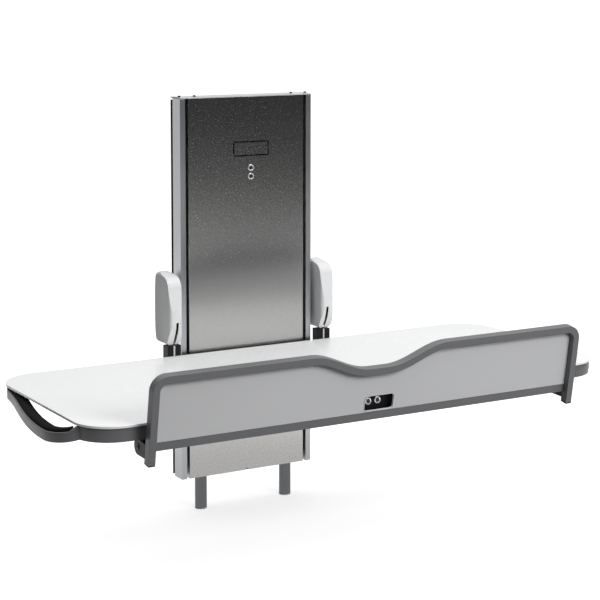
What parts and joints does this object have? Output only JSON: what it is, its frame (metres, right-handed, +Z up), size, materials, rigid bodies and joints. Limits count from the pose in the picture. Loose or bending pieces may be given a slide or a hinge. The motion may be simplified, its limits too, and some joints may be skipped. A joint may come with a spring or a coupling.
{
  "type": "adult changing station",
  "caption": "Wall-mounted adult changing station: a lifting column carries a long bed that folds up against the wall and a front guard that swings down.",
  "frame": {"origin": "centre of the wall bolt pattern, on the wall's surface, at the middle of the column", "axes": "+X to the right along the wall as seen from the room, +Y into the wall, +Z up; the bed and the guard face -Y"},
  "size_m": [1.916, 0.9262, 1.389],
  "materials": {
    "stainless": "brushed",
    "rail_aluminium": "satin",
    "dark_steel": "satin",
    "tube_steel": "satin",
    "bright_steel": "polished",
    "spring_steel": "oiled",
    "bush_plastic": "matte",
    "bush_brass": "satin",
    "white_plastic": "satin",
    "cap_grey": "satin",
    "board_white": "satin",
    "grey_paint": "satin powder coat",
    "guard_aluminium": "satin powder coat",
    "black_rubber": "soft grip",
    "black_plastic": "matte",
    "black_metal": "satin",
    "panel_grey": "satin",
    "motor_metal": "cast",
    "button_black": "satin"
  },
  "bodies": {
    "wall_unit": {"back_plate": "dark_steel", "side_rail_left": "rail_aluminium", "side_rail_right": "rail_aluminium", "front_panel": "stainless", "base_plate": "dark_steel", "head_plate": "dark_steel", "top_cap": "cap_grey", "rail_caps": "cap_grey", "cap_screws": "black_metal", "guide_tubes": "tube_steel", "tube_feet": "white_plastic", "actuator_base": "black_plastic", "lift_motor": "motor_metal", "actuator_outer_tube": "rail_aluminium", "control_box": "black_plastic", "power_supply": "motor_metal", "blank_plate": "stainless", "column_bezels": "bright_steel", "column_switches": "black_plastic"},
    "column_button_up": {"column_button_up": "button_black"},
    "column_button_down": {"column_button_down": "button_black"},
    "carriage": {"actuator_inner_tube": "tube_steel", "carriage_plate": "dark_steel", "slide_blocks": "rail_aluminium", "slide_bushes": "bush_plastic", "lift_head": "dark_steel", "side_brackets": "dark_steel", "cover_left": "white_plastic", "cover_right": "white_plastic", "hinge_pins": "bright_steel", "hinge_springs": "spring_steel"},
    "actuator_stage": {"actuator_middle_tube": "rail_aluminium"},
    "bed": {"arm_left": "bright_steel", "arm_right": "bright_steel", "arm_shoe_left": "black_metal", "arm_shoe_right": "black_metal", "hinge_bushes": "black_plastic", "board": "board_white", "board_screws": "black_metal", "front_rail": "grey_paint", "rear_rail": "grey_paint", "outer_cross_rails": "grey_paint", "inner_cross_rails": "grey_paint", "end_handle_left": "grey_paint", "end_handle_right": "grey_paint", "handle_grip_left": "black_rubber", "handle_grip_right": "black_rubber", "button_box": "black_plastic", "bed_bezels": "bright_steel", "guard_bracket_left": "black_metal", "guard_bracket_right": "black_metal", "guard_pins": "bright_steel"},
    "bed_button_up": {"bed_button_up": "button_black"},
    "bed_button_down": {"bed_button_down": "button_black"},
    "guard": {"guard_frame": "guard_aluminium", "guard_lugs": "black_metal", "guard_bottom_rail": "guard_aluminium", "guard_panel": "panel_grey", "window_bezel": "panel_grey", "guard_end_caps": "black_plastic"}
  },
  "joints": [
    {"name": "lift", "type": "slide", "parent": "wall_unit", "child": "carriage", "axis": [0, 0, 1], "range_m": [-0.245, 0.455]},
    {"name": "actuator_stage_slide", "type": "slide", "parent": "wall_unit", "child": "actuator_stage", "axis": [0, 0, 1], "range_m": [-0.1225, 0.2275]},
    {"name": "bed_fold", "type": "hinge", "parent": "carriage", "child": "bed", "pos_m": [0, -0.076, -0.12], "axis": [-1, 0, 0], "range_deg": [0, 90]},
    {"name": "guard_swing", "type": "hinge", "parent": "bed", "child": "guard", "pos_m": [0, -0.813, -0.283], "axis": [1, 0, 0], "range_deg": [0, 170]},
    {"name": "column_button_up_press", "type": "slide", "parent": "wall_unit", "child": "column_button_up", "axis": [0, 1, 0], "range_m": [0, 0.0015], "stiffness_N_per_m": 400, "springref_m": -0.001},
    {"name": "column_button_down_press", "type": "slide", "parent": "wall_unit", "child": "column_button_down", "axis": [0, 1, 0], "range_m": [0, 0.0015], "stiffness_N_per_m": 400, "springref_m": -0.001},
    {"name": "bed_button_up_press", "type": "slide", "parent": "bed", "child": "bed_button_up", "axis": [0, 1, 0], "range_m": [0, 0.0015], "stiffness_N_per_m": 400, "springref_m": -0.001},
    {"name": "bed_button_down_press", "type": "slide", "parent": "bed", "child": "bed_button_down", "axis": [0, 1, 0], "range_m": [0, 0.0015], "stiffness_N_per_m": 400, "springref_m": -0.001}
  ],
  "couplings": [
    {"joint": "actuator_stage_slide", "follows": "lift", "ratio": 0.5}
  ]
}
